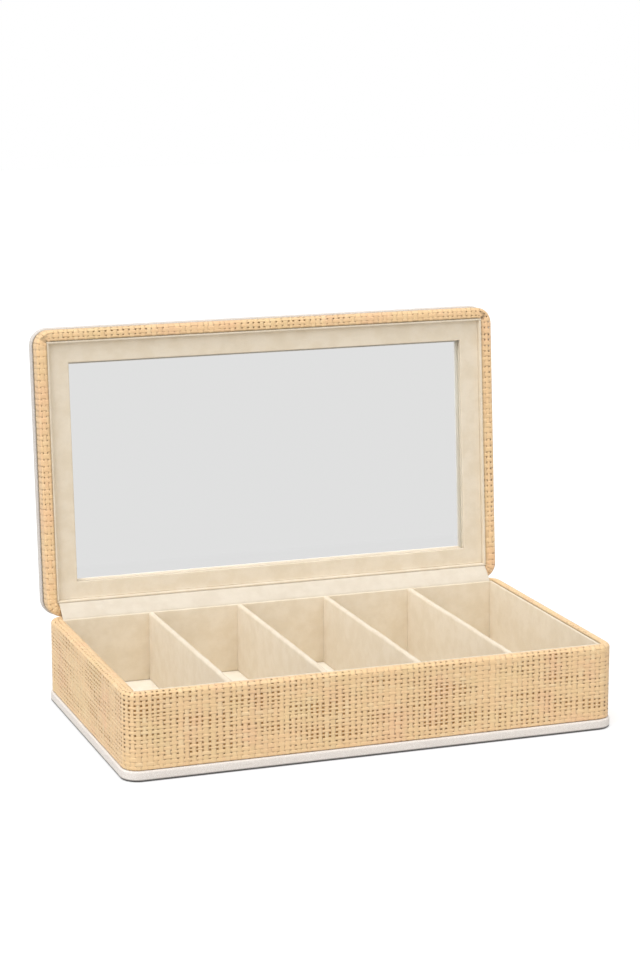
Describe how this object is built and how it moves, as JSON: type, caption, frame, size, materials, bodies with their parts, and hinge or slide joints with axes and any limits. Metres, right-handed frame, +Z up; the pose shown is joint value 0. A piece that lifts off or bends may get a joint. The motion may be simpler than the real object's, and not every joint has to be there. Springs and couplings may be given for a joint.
{
  "type": "eyewear organizer case",
  "caption": "Low rectangular flip-lid case wrapped in woven raffia, with suede-lined compartments for glasses and a framed mirror inside the lid.",
  "frame": {"origin": "centre of the underside of the base panel", "axes": "+X along the case's length to its right, +Y to the hinge side, +Z up"},
  "size_m": [0.34, 0.2336, 0.2547],
  "materials": {
    "raffia": "natural woven raffia",
    "leatherette": "off-white pebbled leatherette",
    "suede": "cream suede",
    "fibreboard": "raw fibreboard",
    "card": "grey-brown lining card",
    "mirror": "silvered glass",
    "brass": "satin brass"
  },
  "bodies": {
    "case": {"base_board": "fibreboard", "base_leatherette": "leatherette", "case_raffia": "raffia", "floor_board": "fibreboard", "floor_suede": "suede", "case_front_board": "fibreboard", "case_rear_board": "fibreboard", "case_left_board": "fibreboard", "case_right_board": "fibreboard", "case_front_liner_card": "card", "case_rear_liner_card": "card", "case_left_liner_card": "card", "case_right_liner_card": "card", "case_front_liner_suede": "suede", "case_rear_liner_suede": "suede", "case_left_liner_suede": "suede", "case_right_liner_suede": "suede", "divider_1_board": "fibreboard", "divider_2_board": "fibreboard", "divider_3_board": "fibreboard", "divider_4_board": "fibreboard", "divider_1_suede": "suede", "divider_2_suede": "suede", "divider_3_suede": "suede", "divider_4_suede": "suede", "hinge_left_case_leaf": "brass", "hinge_left_pin": "brass", "hinge_right_case_leaf": "brass", "hinge_right_pin": "brass", "case_hinge_screws": "brass", "hinge_lining": "suede"},
    "lid": {"lid_panel_board": "fibreboard", "lid_panel_leatherette": "leatherette", "lid_raffia": "raffia", "lid_front_board": "fibreboard", "lid_rear_board": "fibreboard", "lid_left_board": "fibreboard", "lid_right_board": "fibreboard", "lid_front_liner": "suede", "lid_rear_liner": "suede", "lid_left_liner": "suede", "lid_right_liner": "suede", "mirror_frame_front": "card", "mirror_frame_rear": "card", "mirror_frame_left": "card", "mirror_frame_right": "card", "mirror_frame_suede": "suede", "mirror_glass": "mirror", "mirror_backing": "fibreboard", "hinge_left_lid_leaf": "brass", "hinge_right_lid_leaf": "brass", "lid_hinge_screws": "brass"}
  },
  "joints": [
    {"name": "lid_hinge", "type": "hinge", "parent": "case", "child": "lid", "pos_m": [0, 0.09835, 0.0579], "axis": [1, 0, 0], "range_deg": [0, 94.7], "deforming": ["hinge_lining"]}
  ]
}
